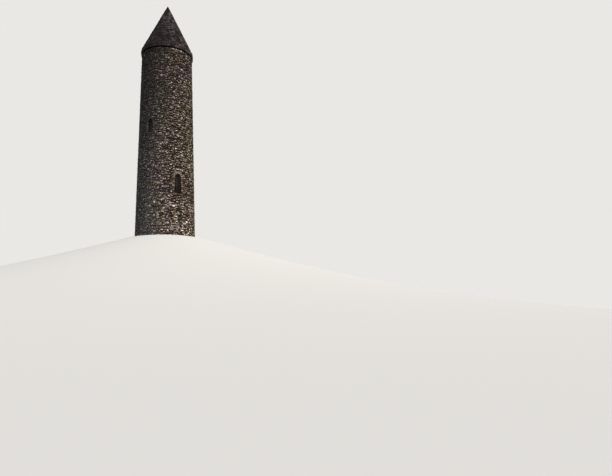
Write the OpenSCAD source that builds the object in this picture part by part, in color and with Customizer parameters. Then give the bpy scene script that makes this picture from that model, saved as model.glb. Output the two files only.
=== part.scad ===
// Round stone bell tower: a hollow, battered wall with timber floors, a raised round-headed
// doorway, small angular-headed windows and a corbelled conical stone roof.
// Millimetres. Z is up, the ground is at z = 0, and the doorway looks along -Y.

/* [Wall] */
// Outer diameter of the wall at the ground
foot_d = 5220; // [4900:20:5500]
// Height of the wall from the ground to the cornice
wall_h = 17850; // [17500:50:18450]
// How far the wall face leans in on each side, from the ground to the cornice
lean_in = 328; // [200:4:380]
// Thickness of the wall at the ground
foot_wall_t = 1210; // [1100:10:1260]
// Width of the ledge inside the wall that carries each floor
ledge_w = 80; // [60:2:100]
// Width of the mortar joints between dressed stones
joint_w = 8; // [4:1:14]

/* [Floors] */
// Height of the doorway floor above the ground
door_floor_h = 3950; // [3750:50:4150]
// Height from one floor to the next
storey_h = 4600; // [4400:50:4700]
// Thickness of the floor boards
board_t = 45; // [30:1:60]
// Gap between the edge of the boards and the wall
board_gap = 12; // [6:1:25]
// Gap between one board and the next
board_joint = 4; // [2:1:8]
// Depth of a joist
joist_h = 200; // [160:5:240]
// Width of a joist
joist_w = 120; // [90:5:150]
// Distance from the middle of the tower to the middle of an inner joist
inner_joist_x = 420; // [380:5:500]
// Distance from the middle of the tower to the middle of an outer joist
outer_joist_x = 1020; // [900:5:1080]
// Gap between the end of a joist and the wall
joist_gap = 5; // [2:1:12]
// Length of the ladder hatch, along the joists
hatch_l = 700; // [550:10:800]
// Distance from the middle of the tower to the near edge of the hatch
hatch_y = 250; // [150:10:400]

/* [Doorway] */
// Width of the doorway at its sill
door_sill_w = 660; // [560:10:760]
// Width of the doorway where its arch springs
door_spring_w = 500; // [440:10:560]
// Height from the door sill to the springing of the arch
door_spring_h = 1500; // [1300:10:1600]
// Thickness of the door sill
door_sill_t = 190; // [120:5:230]
// Length of door sill under each jamb
door_sill_bearing = 180; // [120:10:260]
// Number of stones in each door jamb
door_jamb_stones = 4; // [3:1:6]
// Face width of the short stones in a door jamb
door_short_stone = 230; // [180:10:260]
// Face width of the long stones in a door jamb
door_long_stone = 360; // [300:10:420]
// Number of stones in the door arch
arch_stones = 7; // [5:2:11]
// Depth of the arch ring on the wall face
arch_ring = 260; // [200:10:320]

/* [Windows] */
// Height of a window sill above its floor
window_sill_h = 990; // [700:10:1200]
// Width of a window at its sill
window_sill_w = 580; // [500:10:640]
// Width of a window under its pointed head
window_top_w = 500; // [430:10:560]
// Height from the window sill to the foot of its head
window_jamb_h = 1050; // [900:10:1200]
// Rise of the pointed window head
window_head_rise = 300; // [250:10:350]
// Thickness of the two leaning stones of a window head
head_stone_t = 190; // [150:10:230]
// Thickness of a window sill
window_sill_t = 160; // [120:5:200]
// Length of window sill under each jamb
window_sill_bearing = 140; // [100:10:200]
// Number of stones in each window jamb
window_jamb_stones = 3; // [2:1:5]
// Face width of the short stones in a window jamb
window_short_stone = 190; // [150:10:230]
// Face width of the long stones in a window jamb
window_long_stone = 300; // [260:10:350]
// Depth of the dressed stones of a window, from the wall face
window_stone_d = 380; // [300:10:450]
// Width of the splayed recess at the inner wall face
recess_w = 800; // [700:10:900]
// Height of the inner lintel above the tip of the window opening
lintel_clear = 20; // [10:5:60]
// Thickness of the inner lintel
lintel_t = 180; // [140:5:220]
// Length of inner lintel on the wall at each side
lintel_bearing = 150; // [100:10:200]
// How far the band of wall that holds a window goes on below its sill stone
band_below = 90; // [60:10:240]
// How far the band of wall that holds a window goes on above its head stones
band_above = 150; // [100:10:400]
// Direction of the front window, turned from the doorway
front_window_turn = -60; // [-80:1:-45]
// Direction of the rear window, turned from the doorway
rear_window_turn = 120; // [95:1:135]
// Direction of the top window, turned from the doorway
top_window_turn = 180; // [150:1:210]

/* [Roof] */
// Height of the cornice
cornice_h = 465; // [380:5:560]
// How far the cornice stands out from the wall face
cornice_out = 66; // [30:2:90]
// Size of the bevel under the cornice
cornice_bevel = 25; // [10:1:28]
// Height of the roof cone above the cornice
cone_h = 5065; // [4600:5:5400]
// Height of one corbelled course inside the roof
course_h = 320; // [280:5:340]
// Number of corbelled courses in each of the three parts of the roof
part_courses = 4; // [3:1:4]
// Level thickness of the roof shell
shell_t = 620; // [560:10:660]
// Height of the capstone
capstone_h = 640; // [520:10:760]

/* [Hidden] */
$fn = 240;

// How far a cutting shape runs past the surface it cuts
past = 10;

// The wall is built in four lifts. Each ends at the ledge under the next floor.
floor_z = [for (i = [0:2]) door_floor_h + i * storey_h];
ledge_z = [for (z = floor_z) z - board_t - joist_h];
lift_z = [0, ledge_z[0], ledge_z[1], ledge_z[2], wall_h];
function outer_r(z) = foot_d / 2 - lean_in * z / wall_h;
function inner_r(lift) = foot_d / 2 - foot_wall_t + lift * ledge_w;

// Each window is its turn from the doorway and the floor that it lights
FRONT_WINDOW = [front_window_turn, 1];
REAR_WINDOW = [rear_window_turn, 1];
TOP_WINDOW = [top_window_turn, 2];
function window_turn(w) = w[0];
function window_lift(w) = w[1] + 1;
function window_z(w) = floor_z[w[1]] + window_sill_h;

// A lift with windows is built as three rings: one to below the sills, one that holds the
// windows, and one above them. The middle lift's window ring is in two parts, which meet at
// the middle of each window.
function band_low(w) = window_z(w) - window_sill_t - band_below;
function band_high(w) = window_z(w) + head_tip + band_above;

// Level of the roof's foot, its radius there, and the fall of its slope
roof_z = wall_h + cornice_h;
roof_r = outer_r(wall_h) + cornice_out;
capstone_z = roof_z + cone_h - capstone_h;
function roof_r_at(z) = roof_r * (roof_z + cone_h - z) / cone_h;

rubble = "#6f675d";
dressed = "#7b7268";
slate = "#57514c";
oak = "#6a543c";

// A ring of the battered wall between two heights of one lift, before any opening is cut
module wall_ring(lift, low, high) {
    difference() {
        translate([0, 0, low]) cylinder(r1 = outer_r(low), r2 = outer_r(high), h = high - low);
        translate([0, 0, low - past]) cylinder(r = inner_r(lift), h = high - low + 2 * past);
    }
}

module wall_lift(lift) wall_ring(lift, lift_z[lift], lift_z[lift + 1]);

// Runs an outline, drawn as seen from outside with its sill at the origin, into the wall.
// It faces the given turn and reaches from the depth back_r, measured from the tower's
// middle, out past the wall face.
module through_wall(turn, z, back_r = 0) {
    rotate([0, 0, turn]) translate([0, -back_r, z]) rotate([90, 0, 0])
        linear_extrude(height = foot_d / 2 + past - back_r) children();
}

// Half the width of an opening with leaning jambs, at height h above its sill
function half_w(sill_w, top_w, jamb_h, h) = (sill_w + (top_w - sill_w) * h / jamb_h) / 2;

// Height of the bed under stone i of a jamb, and where the back of that stone lies
function bed_h(jamb_h, stones, i) = jamb_h * i / stones;
function stone_back(sill_w, short, long, i) = sill_w / 2 + (i % 2 == 0 ? long : short);

// Outline of the right jamb: short and long stones in turn, with their joints
module jamb_outline(sill_w, top_w, jamb_h, stones, short, long) {
    for (i = [0:stones - 1]) {
        low = bed_h(jamb_h, stones, i) + joint_w / 2;
        high = bed_h(jamb_h, stones, i + 1) - joint_w / 2;
        back = stone_back(sill_w, short, long, i);
        polygon([
            [half_w(sill_w, top_w, jamb_h, low), low], [back, low],
            [back, high], [half_w(sill_w, top_w, jamb_h, high), high]
        ]);
    }
}

// Right edge of the cut for a sill and for the backs of the jamb stones, from the bottom up
function cut_edge(sill_w, bearing, thickness, jamb_h, stones, short, long) = concat(
    [[sill_w / 2 + bearing, -thickness], [sill_w / 2 + bearing, 0]],
    [for (i = [0:stones - 1]) let (back = stone_back(sill_w, short, long, i)) each [
        [back, bed_h(jamb_h, stones, i)], [back, bed_h(jamb_h, stones, i + 1)]
    ]]
);

// Both edges of a cut as one outline, which keeps it free of slivers between the stones
module cut_outline(right) {
    left = [for (i = [len(right) - 1:-1:0]) [-right[i][0], right[i][1]]];
    polygon(concat(right, left));
}

// Outline of a sill, with its top at the origin
module sill_outline(sill_w, bearing, thickness) {
    translate([-sill_w / 2 - bearing, -thickness]) square([sill_w + 2 * bearing, thickness]);
}

// Doorway

module arch_ring_outline(inner, outer) {
    difference() {
        circle(r = outer);
        circle(r = inner);
    }
}

// A wedge from the arch's middle between two angles, narrowed by half a joint at each side
module arch_wedge(low_a, high_a) {
    reach = 2 * (door_spring_w / 2 + arch_ring);
    gap = joint_w / 2;
    side = function (a, s) [-s * gap * sin(a), s * gap * cos(a)];
    ray = function (a) [reach * cos(a), reach * sin(a)];
    polygon([
        side(low_a, 1), ray(low_a) + side(low_a, 1),
        ray(high_a) + side(high_a, -1), side(high_a, -1)
    ]);
}

module arch_outline() {
    step = 180 / arch_stones;
    translate([0, door_spring_h]) for (i = [0:arch_stones - 1]) intersection() {
        arch_ring_outline(door_spring_w / 2, door_spring_w / 2 + arch_ring);
        arch_wedge(i * step, (i + 1) * step);
    }
}

// The arch's part of the cut starts one joint below the springing, within the jambs' part
module door_cut_outline() {
    cut_outline(cut_edge(
        door_sill_w, door_sill_bearing, door_sill_t,
        door_spring_h, door_jamb_stones, door_short_stone, door_long_stone
    ));
    translate([0, door_spring_h]) intersection() {
        circle(r = door_spring_w / 2 + arch_ring);
        translate([-foot_d, -joint_w]) square([2 * foot_d, foot_d]);
    }
}

// A dressed stone of the doorway runs through the whole wall
module door_stone() {
    intersection() {
        wall_lift(1);
        through_wall(0, floor_z[0]) children();
    }
}

module door_jamb_outline() {
    jamb_outline(door_sill_w, door_spring_w, door_spring_h, door_jamb_stones, door_short_stone, door_long_stone);
}

module door_sill() color(dressed) door_stone() sill_outline(door_sill_w, door_sill_bearing, door_sill_t);
module door_right_jamb() color(dressed) door_stone() door_jamb_outline();
module door_left_jamb() color(dressed) door_stone() mirror([1, 0]) door_jamb_outline();
module door_arch() color(dressed) door_stone() arch_outline();

// Windows

// Depth, from the tower's middle, of the back of a window's dressed stones
function stone_back_r(w) = outer_r(window_z(w) + window_jamb_h / 2) - window_stone_d;

// Length of a head stone's lower edge, and where its back meets the jamb, the tip and the
// side of the plumb joint
head_slope = sqrt(pow(window_top_w / 2, 2) + pow(window_head_rise, 2));
head_foot = window_top_w / 2 + head_stone_t * head_slope / window_head_rise;
head_tip = window_jamb_h + window_head_rise + head_stone_t * head_slope / (window_top_w / 2);
head_joint_h = head_tip - (head_tip - window_jamb_h) * joint_w / 2 / head_foot;
lintel_h = window_jamb_h + window_head_rise + lintel_clear;

// The right stone of a pointed head leans on the left one over a plumb joint
module head_stone_outline() {
    intersection() {
        polygon([
            [window_top_w / 2, window_jamb_h], [head_foot, window_jamb_h],
            [0, head_tip], [0, window_jamb_h + window_head_rise]
        ]);
        translate([joint_w / 2, window_jamb_h + joint_w / 2]) square([head_foot, head_tip]);
    }
}

module window_cut_outline() {
    cut_outline(concat(
        cut_edge(
            window_sill_w, window_sill_bearing, window_sill_t,
            window_jamb_h, window_jamb_stones, window_short_stone, window_long_stone
        ),
        [[head_foot, window_jamb_h], [joint_w / 2, head_joint_h]]
    ));
}

// Distance from the tower's middle of the line between the two edges of a recess's mouth
function recess_mouth_r(w) = sqrt(pow(inner_r(window_lift(w)), 2) - pow(recess_w / 2, 2));

// Plan of the recess behind a window: it widens towards the room. It starts a little inside
// the space of the dressed stones and ends past the edges of its mouth, within the room.
module recess_plan(w) {
    back = stone_back_r(w);
    mouth_r = recess_mouth_r(w);
    splay = (recess_w - window_sill_w) / 2 / (back - mouth_r);
    half = recess_w / 2 + splay * past;
    polygon([
        [-window_sill_w / 2, -back - past], [window_sill_w / 2, -back - past],
        [window_sill_w / 2, -back], [half, past - mouth_r],
        [-half, past - mouth_r], [-window_sill_w / 2, -back]
    ]);
}

// Room for the inner lintel, between the window's dressed stones and the room
module lintel_space(w) {
    half = recess_w / 2 + lintel_bearing;
    rotate([0, 0, window_turn(w)])
        translate([-half, -stone_back_r(w), window_z(w) + lintel_h])
            cube([2 * half, stone_back_r(w), lintel_t]);
}

// What a window takes out of the wall. Its dressed stones have a joint behind them, by which
// their room reaches into the lintel's room.
module window_cut(w) {
    through_wall(window_turn(w), window_z(w), stone_back_r(w) - joint_w) window_cut_outline();
    rotate([0, 0, window_turn(w)]) translate([0, 0, window_z(w)])
        linear_extrude(height = lintel_h + past) recess_plan(w);
    lintel_space(w);
}

module window_stone(w) {
    intersection() {
        wall_lift(window_lift(w));
        through_wall(window_turn(w), window_z(w), stone_back_r(w)) children();
    }
}

module window_jamb_outline() {
    jamb_outline(
        window_sill_w, window_top_w, window_jamb_h, window_jamb_stones,
        window_short_stone, window_long_stone
    );
}

module window_sill(w) color(dressed)
    window_stone(w) sill_outline(window_sill_w, window_sill_bearing, window_sill_t);
module window_right_jamb(w) color(dressed) window_stone(w) window_jamb_outline();
module window_left_jamb(w) color(dressed) window_stone(w) mirror([1, 0]) window_jamb_outline();
module window_head(w) color(dressed) window_stone(w) {
    head_stone_outline();
    mirror([1, 0]) head_stone_outline();
}
module window_lintel(w) color(dressed) intersection() {
    wall_lift(window_lift(w));
    lintel_space(w);
}

// Wall

module basement_wall() color(rubble) wall_lift(0);

module entrance_wall() color(rubble) difference() {
    wall_lift(1);
    through_wall(0, floor_z[0]) door_cut_outline();
}

module middle_wall_lower() color(rubble) wall_ring(2, lift_z[2], band_low(FRONT_WINDOW));

// A slice of plan between two turns from the doorway, wider than the tower
module plan_slice(from_turn, to_turn, steps = 4) {
    polygon(concat([[0, 0]], [for (i = [0:steps]) let (turn = from_turn + (to_turn - from_turn) * i / steps)
        foot_d * [sin(turn), -cos(turn)]
    ]));
}

// The middle lift's window ring between two turns, with both windows cut
module middle_band(from_turn, to_turn) color(rubble) difference() {
    low = band_low(FRONT_WINDOW);
    high = band_high(FRONT_WINDOW);
    intersection() {
        wall_ring(2, low, high);
        translate([0, 0, low - past]) linear_extrude(height = high - low + 2 * past)
            plan_slice(from_turn, to_turn);
    }
    window_cut(FRONT_WINDOW);
    window_cut(REAR_WINDOW);
}

module middle_wall_right_band() middle_band(front_window_turn, rear_window_turn);
module middle_wall_left_band() middle_band(rear_window_turn, front_window_turn + 360);

module middle_wall_upper() color(rubble) wall_ring(2, band_high(FRONT_WINDOW), lift_z[3]);

module top_wall_lower() color(rubble) wall_ring(3, lift_z[3], band_low(TOP_WINDOW));

module top_wall_window_band() color(rubble) difference() {
    wall_ring(3, band_low(TOP_WINDOW), band_high(TOP_WINDOW));
    window_cut(TOP_WINDOW);
}

module top_wall_upper() color(rubble) wall_ring(3, band_high(TOP_WINDOW), lift_z[4]);

// Floors

// Four joists cross the tower with their ends on the ledge, cut to the curve of the wall
module joists(storey) {
    color(oak) translate([0, 0, ledge_z[storey]]) intersection() {
        cylinder(r = inner_r(storey + 1) - joist_gap, h = joist_h);
        for (x = [-outer_joist_x, -inner_joist_x, inner_joist_x, outer_joist_x])
            translate([x - joist_w / 2, -foot_d / 2, 0]) cube([joist_w, foot_d, joist_h]);
    }
}

// Boards on the joists, in four sheets around a ladder hatch between the two inner joists
module boards(storey) {
    hatch_w = 2 * inner_joist_x - joist_w;
    r = inner_r(storey + 1) - board_gap;
    far_y = hatch_y + hatch_l;
    sheets = [
        [[-r, -r], [r, hatch_y - board_joint]],
        [[-r, hatch_y], [-hatch_w / 2, far_y]],
        [[hatch_w / 2, hatch_y], [r, far_y]],
        [[-r, far_y + board_joint], [r, r]]
    ];
    color(oak) translate([0, 0, floor_z[storey] - board_t]) for (s = sheets) intersection() {
        cylinder(r = r, h = board_t);
        translate([s[0][0], s[0][1], 0]) cube([s[1][0] - s[0][0], s[1][1] - s[0][1], board_t]);
    }
}

// Roof

module eaves_cornice() {
    face = outer_r(wall_h) + cornice_out;
    inner = inner_r(3);
    color(slate) translate([0, 0, wall_h]) rotate_extrude() polygon([
        [inner, 0], [face - cornice_bevel, 0], [face, cornice_bevel],
        [face, cornice_h], [inner, cornice_h]
    ]);
}

// Inner radius of corbelled course i, counted from the roof's foot: each course stands in
// from the one below, and is as thick at its top as the shell
function corbel_r(i) = min(inner_r(3), roof_r_at(roof_z + (i + 1) * course_h) - shell_t);

// One third of the roof's corbelled courses: a plain slope outside and steps inside.
// The last part carries the capstone.
module roof_part(part) {
    first = part * part_courses;
    last = first + part_courses - 1;
    foot_z = roof_z + first * course_h;
    top_z = part == 2 ? capstone_z : foot_z + part_courses * course_h;
    steps = [for (i = [first:last]) let (r = max(0, corbel_r(i))) each [
        [r, roof_z + i * course_h],
        [r, i == last ? top_z : roof_z + (i + 1) * course_h]
    ]];
    color(slate) rotate_extrude() polygon(concat(
        steps,
        [[roof_r_at(top_z), top_z], [roof_r_at(foot_z), foot_z]]
    ));
}

module capstone() color(slate)
    translate([0, 0, capstone_z]) cylinder(r1 = roof_r_at(capstone_z), r2 = 0, h = capstone_h);

basement_wall();
entrance_wall();
middle_wall_lower();
middle_wall_right_band();
middle_wall_left_band();
middle_wall_upper();
top_wall_lower();
top_wall_window_band();
top_wall_upper();
joists(0);  // entrance_joists
boards(0);  // entrance_floor
joists(1);  // middle_joists
boards(1);  // middle_floor
joists(2);  // top_joists
boards(2);  // top_floor
door_sill();
door_left_jamb();
door_right_jamb();
door_arch();
window_sill(FRONT_WINDOW);  // front_window_sill
window_left_jamb(FRONT_WINDOW);  // front_window_left_jamb
window_right_jamb(FRONT_WINDOW);  // front_window_right_jamb
window_head(FRONT_WINDOW);  // front_window_head
window_lintel(FRONT_WINDOW);  // front_window_lintel
window_sill(REAR_WINDOW);  // rear_window_sill
window_left_jamb(REAR_WINDOW);  // rear_window_left_jamb
window_right_jamb(REAR_WINDOW);  // rear_window_right_jamb
window_head(REAR_WINDOW);  // rear_window_head
window_lintel(REAR_WINDOW);  // rear_window_lintel
window_sill(TOP_WINDOW);  // top_window_sill
window_left_jamb(TOP_WINDOW);  // top_window_left_jamb
window_right_jamb(TOP_WINDOW);  // top_window_right_jamb
window_head(TOP_WINDOW);  // top_window_head
window_lintel(TOP_WINDOW);  // top_window_lintel
eaves_cornice();
roof_part(0);  // roof_lower_courses
roof_part(1);  // roof_middle_courses
roof_part(2);  // roof_upper_courses
capstone();
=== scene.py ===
# %% [markdown]
# # A round stone bell tower
#
# The tower is a hollow drum of rubble stone that leans in a little as it rises, with a steep
# stone cap on top. Its solids come from the CAD model. This lesson dresses them: it lays the
# rubble over the wall stone by stone, cuts the stones of the doorway and the windows, lays the
# cap's slabs in courses, boards the floors, and gives every surface its finish. The CAD solids
# stay in place as the mortared core of the wall. The stones stand a few centimetres out of it,
# as real ones stand out of weathered mortar.

# %% The frame from the CAD
import bpy
import math
from types import SimpleNamespace

import numpy as np
from mathutils import Matrix, Vector


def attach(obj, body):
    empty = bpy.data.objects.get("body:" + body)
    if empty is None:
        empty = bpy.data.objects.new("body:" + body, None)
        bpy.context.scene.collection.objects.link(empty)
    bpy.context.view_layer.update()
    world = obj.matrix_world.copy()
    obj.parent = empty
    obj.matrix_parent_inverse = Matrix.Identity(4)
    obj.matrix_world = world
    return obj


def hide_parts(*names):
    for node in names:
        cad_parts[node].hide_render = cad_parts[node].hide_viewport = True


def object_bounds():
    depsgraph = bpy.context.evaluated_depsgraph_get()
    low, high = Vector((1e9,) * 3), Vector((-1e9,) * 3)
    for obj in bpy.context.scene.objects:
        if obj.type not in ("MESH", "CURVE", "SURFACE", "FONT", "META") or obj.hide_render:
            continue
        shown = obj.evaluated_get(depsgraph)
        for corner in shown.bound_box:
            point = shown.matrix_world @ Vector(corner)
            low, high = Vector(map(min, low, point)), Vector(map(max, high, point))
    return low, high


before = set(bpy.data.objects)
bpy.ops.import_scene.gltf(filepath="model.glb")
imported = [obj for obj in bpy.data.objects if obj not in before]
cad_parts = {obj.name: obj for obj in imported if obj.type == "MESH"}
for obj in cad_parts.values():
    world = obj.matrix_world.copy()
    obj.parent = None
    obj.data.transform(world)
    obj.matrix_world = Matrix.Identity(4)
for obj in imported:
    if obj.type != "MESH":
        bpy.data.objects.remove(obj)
cad_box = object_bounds()
print("CAD box, metres:", [round(v, 3) for corner in cad_box for v in corner])

# %% [markdown]
# ## The camera
#
# The photograph was taken from seven and a half metres below the tower's foot, looking up, with
# the camera tilted a little to one side. The distance, the height and the tilt were fitted to
# the edges of the tower in the picture, so the camera is set from those numbers and not by eye.

# %% Camera
IMAGE_W, IMAGE_H = 612, 476
FOCAL_PIXELS = 503.4
SENSOR_MM = 36.0
CAMERA_AWAY = 46.83
CAMERA_TURN = math.radians(-24.2)
CAMERA_Z = -7.528
LOOK_RIGHT = math.radians(15.837)
LOOK_UP = math.radians(9.317)
ROLL = math.radians(-1.975)

camera = bpy.data.objects.new("camera", bpy.data.cameras.new("camera"))
bpy.context.scene.collection.objects.link(camera)
camera.data.sensor_width = SENSOR_MM
camera.data.lens = FOCAL_PIXELS / IMAGE_W * SENSOR_MM
camera.data.clip_end = 2000.0
camera.location = (CAMERA_AWAY * math.sin(CAMERA_TURN), -CAMERA_AWAY * math.cos(CAMERA_TURN), CAMERA_Z)
heading = LOOK_RIGHT - CAMERA_TURN
forward = Vector((
    math.sin(heading) * math.cos(LOOK_UP),
    math.cos(heading) * math.cos(LOOK_UP),
    math.sin(LOOK_UP),
))
level = forward.to_track_quat("-Z", "Y").to_matrix()
camera.rotation_euler = (level @ Matrix.Rotation(ROLL, 3, "Z")).to_euler()
bpy.context.scene.camera = camera
bpy.context.view_layer.update()
x, y, z = camera.matrix_world.inverted() @ Vector((0.0, 0.0, cad_box[1][2]))
print("lens, mm:", round(camera.data.lens, 2), "; the apex lands at",
      round(IMAGE_W / 2 - FOCAL_PIXELS * x / z, 1), round(IMAGE_H / 2 + FOCAL_PIXELS * y / z, 1))

# %% [markdown]
# ## Colours, nodes and meshes
#
# A few helpers serve every piece. Colours are written as sRGB hex, as a paint chart gives them,
# and turned to the linear values that Blender works with. A shader node is added with its
# settings and its links in one call, which keeps each material readable from top to bottom.
# The finishes here are all dull and uneven, so they end alike.

# %% Helpers for materials


def linear(hex_colour):
    """sRGB hex such as #8a7f72 as a linear RGBA colour."""
    values = [int(hex_colour[i:i + 2], 16) / 255 for i in (1, 3, 5)]
    return [v / 12.92 if v <= 0.04045 else ((v + 0.055) / 1.055) ** 2.4 for v in values] + [1.0]


def add_node(tree, kind, inputs=None, stops=(), **settings):
    """One node: settings are its properties, and stops the (position, hex colour) pairs of a
    colour ramp. An input is a value, a hex colour, a socket to link, or a node whose first
    output in use is linked."""
    node = tree.nodes.new("ShaderNode" + kind)
    for name, value in settings.items():
        setattr(node, name, value)
    for i, (position, colour) in enumerate(stops):
        elements = node.color_ramp.elements
        element = elements[i] if i < len(elements) else elements.new(position)
        element.position = position
        element.color = linear(colour)
    for name, value in (inputs or {}).items():
        socket = node.inputs[name]
        if isinstance(value, bpy.types.Node):
            value = next(output for output in value.outputs if output.enabled)
        if isinstance(value, bpy.types.NodeSocket):
            tree.links.new(value, socket)
        else:
            socket.default_value = linear(value) if isinstance(value, str) else value
    return node


def new_material(name):
    """A material without nodes, ready for a surface."""
    material = bpy.data.materials.new(name)
    material.use_nodes = True
    material.node_tree.nodes.clear()
    return material, material.node_tree


def add_surface(tree, colour, relief, bump_mm, roughness, specular=0.5, strength=1.0):
    """Ends a material that reflects as stone, mortar and wood do: relief, surface, output."""
    bump = add_node(tree, "Bump", {
        "Strength": strength, "Distance": bump_mm / 1000, "Height": relief,
    })
    surface = add_node(tree, "BsdfPrincipled", {
        "Base Color": colour, "Roughness": roughness, "IOR": 1.5,
        "Specular IOR Level": specular, "Normal": bump,
    })
    add_node(tree, "OutputMaterial", {"Surface": surface})


print("mid grey, linear:", round(linear("#808080")[0], 3))

# %% Helpers for shapes


def outwards(turn, height=0.0):
    """The direction away from the tower's axis at a turn from the doorway, and so far up."""
    return (
        math.sin(turn) * math.cos(height), -math.cos(turn) * math.cos(height), math.sin(height),
    )


def band(start, n):
    """The faces between a ring of n points, which starts at that point, and the next ring."""
    return [
        (start + k, start + (k + 1) % n, start + n + (k + 1) % n, start + n + k)
        for k in range(n)
    ]


def add_mesh(name, points, faces, material):
    """A mesh object of one material, in the scene."""
    mesh = bpy.data.meshes.new(name)
    mesh.from_pydata(points, [], faces)
    mesh.materials.append(material)
    made = bpy.data.objects.new(name, mesh)
    bpy.context.scene.collection.objects.link(made)
    return made


def carry(made, replaced=()):
    """The piece rides with the tower, and the CAD nodes that it stands for aren't shown."""
    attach(made, "root")
    for node in replaced:
        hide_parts(node)


print("the doorway looks", outwards(0.0))

# %% [markdown]
# ## The studio floor
#
# A flat floor would hide the tower from a camera that stands below it, so the pale studio floor
# is a smooth round rise with the tower on its level top. It is only a stage, and not a part of
# the object. It is pale to the camera, but throws only a little light back up at the tower.

# %% The studio floor
RISE_TOP_R = 3.6
RISE_DROP = 9.8
RISE_SLOPE = math.tan(math.radians(18))
FLOOR_Z = -0.004
AROUND = 128

floor_paint, tree = new_material("matte_studio_floor")
rays = add_node(tree, "LightPath")
floor_colour = add_node(tree, "Mix", {
    0: rays.outputs["Is Camera Ray"], 6: "#77766f", 7: "#e4e2dd",
}, data_type="RGBA")
floor_surface = add_node(tree, "BsdfPrincipled", {
    "Base Color": floor_colour, "Roughness": 0.95, "Specular IOR Level": 0.1,
})
add_node(tree, "OutputMaterial", {"Surface": floor_surface})

radii = [0.0, 2.0] + [RISE_TOP_R + 0.6 * i for i in range(80)] + [60.0, 90.0, 160.0, 320.0, 700.0]
points, faces = [], []
for radius in radii:
    fall = max(0.0, radius - RISE_TOP_R) * RISE_SLOPE
    height = FLOOR_Z - RISE_DROP * math.tanh(fall / RISE_DROP)
    for k in range(AROUND):
        turn = 2 * math.pi * k / AROUND
        points.append((radius * math.sin(turn), radius * math.cos(turn), height))
for i in range(len(radii) - 1):
    faces += band(i * AROUND, AROUND)
rise = add_mesh("studio_rise", points, faces, floor_paint)
rise.data.shade_smooth()
print("the floor has", len(faces), "faces and falls", RISE_DROP, "m")

# %% [markdown]
# ## The light
#
# It is soft, plain daylight: one broad key from the right, so that the drum turns into shade
# on its left, and an even glow from all around. A dim lamp in each room, of which only the
# light shows, stands for the daylight from its other openings. Without it the doorway and the
# windows would be black holes, where the eye expects to see into a dark room.

# %% World and lamps
world = bpy.data.worlds.new("studio_world")
bpy.context.scene.world = world
world.use_nodes = True
tree = world.node_tree
tree.nodes.clear()
rays = add_node(tree, "LightPath")
seen = rays.outputs["Is Camera Ray"]
for ray in ("Is Glossy Ray", "Is Transmission Ray"):
    seen = add_node(tree, "Math", {0: seen, 1: rays.outputs[ray]}, operation="MAXIMUM")
glow = add_node(tree, "Background", {"Color": "#d6e6f8", "Strength": 0.40})
backdrop = add_node(tree, "Background", {"Color": "#e9e8e4", "Strength": 1.0})
either = add_node(tree, "MixShader", {0: seen, 1: glow, 2: backdrop})
add_node(tree, "OutputWorld", {"Surface": either})


def add_lamp(name, kind, strength, colour):
    lamp = bpy.data.objects.new(name, bpy.data.lights.new(name, kind))
    lamp.data.energy = strength
    lamp.data.color = linear(colour)[:3]
    bpy.context.scene.collection.objects.link(lamp)
    return lamp


for name, turn, height, strength, spread, colour in (
    ("key_light", 18, 37, 3.3, 30, "#fff6ec"), ("fill_light", -100, 25, 0.20, 60, "#d4e2fa"),
):
    sun = add_lamp(name, "SUN", strength, colour)
    sun.data.angle = math.radians(spread)
    towards = Vector(outwards(math.radians(turn), math.radians(height)))
    sun.rotation_euler = towards.to_track_quat("Z", "Y").to_euler()

# Each lamp stands where it looks along the room into the reveals of the opening
for room, place, watts in (
    ("entrance_room", (-0.50, -1.00, 5.20), 17.0), ("middle_room", (0.12, -0.80, 10.20), 17.0),
    ("top_room", (-0.50, 0.60, 14.90), 12.0),
):
    lamp = add_lamp(f"{room}_daylight", "POINT", watts, "#cce2ec")
    lamp.data.shadow_soft_size = 0.25
    lamp.location = place
    lamp.visible_camera = lamp.visible_glossy = False
bpy.context.scene.view_settings.view_transform = "Standard"
print("lamps:", [lamp.name for lamp in bpy.data.lights])

# %% [markdown]
# ## How one stone is made
#
# Every stone of the tower is the same kind of shape: a four-sided block whose corners are
# knocked off, whose sides run unevenly, and whose face bulges a little. It could be a cube
# with modifiers, but thousands of those would be slow and would all look alike. Here it is a
# stack of closed rings of points, from bed to face. Each ring has the same uneven outline,
# lies at its own depth, and is drawn in a little more than the last.
#
# The corners are given in a flat pattern, such as angle and height on the drum, and a `place`
# function bends it onto the real surface. So one maker serves the drum, the cap, the arch and
# the jambs. Each point carries two marks for the materials: `tone`, which is random for each
# stone, and a mark for dirt and painted shade, which falls from 1 deep in the joint to 0 on
# the face.

# %% A yard of stones
random = np.random.default_rng(7)
DUSTY_TONE = 0.55
SHARP_EDGE = math.radians(42)


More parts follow.
